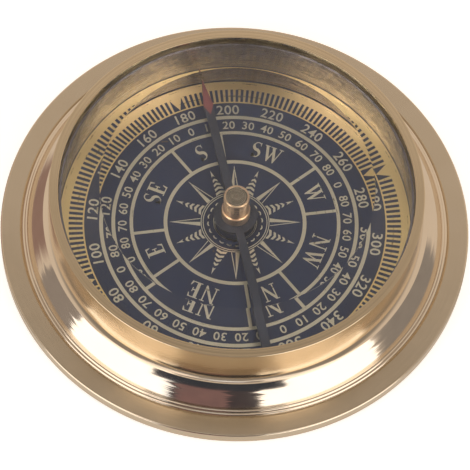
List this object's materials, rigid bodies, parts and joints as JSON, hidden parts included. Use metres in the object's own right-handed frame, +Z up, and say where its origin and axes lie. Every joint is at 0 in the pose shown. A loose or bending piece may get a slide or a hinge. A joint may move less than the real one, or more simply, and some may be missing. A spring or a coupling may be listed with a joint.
{
  "type": "nautical desk compass",
  "caption": "Round flanged brass compass: a turned case with a bevelled glass over a printed dial, and a steel needle that turns freely on a pivot point.",
  "frame": {"origin": "centre of the felt's underside, on the surface that the compass stands on", "axes": "+Z up along the case's and the needle's axis; +X to the viewer's right and +Y away from the viewer in the pictured view"},
  "size_m": [0.08, 0.08, 0.0165],
  "materials": {
    "felt": "dyed wool felt",
    "base_brass": "fine turned, satin",
    "body_brass": "polished",
    "dial_print": "satin black print on gilt brass",
    "sleeve_brass": "bored, satin",
    "gasket_rubber": "matt",
    "crystal_glass": "polished, ground edge",
    "bezel_brass": "polished",
    "post_brass": "turned",
    "pin_steel": "hardened and polished",
    "screw_steel": "plain",
    "needle_steel": "blackened steel with a red tip",
    "hub_brass": "turned",
    "jewel": "polished"
  },
  "bodies": {
    "case": {"felt_pad": "felt", "base_flange": "base_brass", "body_ring": "body_brass", "dial_plate": "dial_print", "spacer_sleeve": "sleeve_brass", "glass_gasket": "gasket_rubber", "glass_crystal": "crystal_glass", "bezel_ring": "bezel_brass", "pivot_post": "post_brass", "pivot_pin": "pin_steel", "base_screw_1": "screw_steel", "base_screw_2": "screw_steel", "base_screw_3": "screw_steel", "base_screw_4": "screw_steel"},
    "needle": {"needle_blade": "needle_steel", "hub_cap": "hub_brass", "jewel_cup": "jewel"}
  },
  "joints": [
    {"name": "needle_spin", "type": "hinge", "parent": "case", "child": "needle", "pos_m": [0, 0, 0.0102], "axis": [0, 0, 1], "continuous": true}
  ]
}
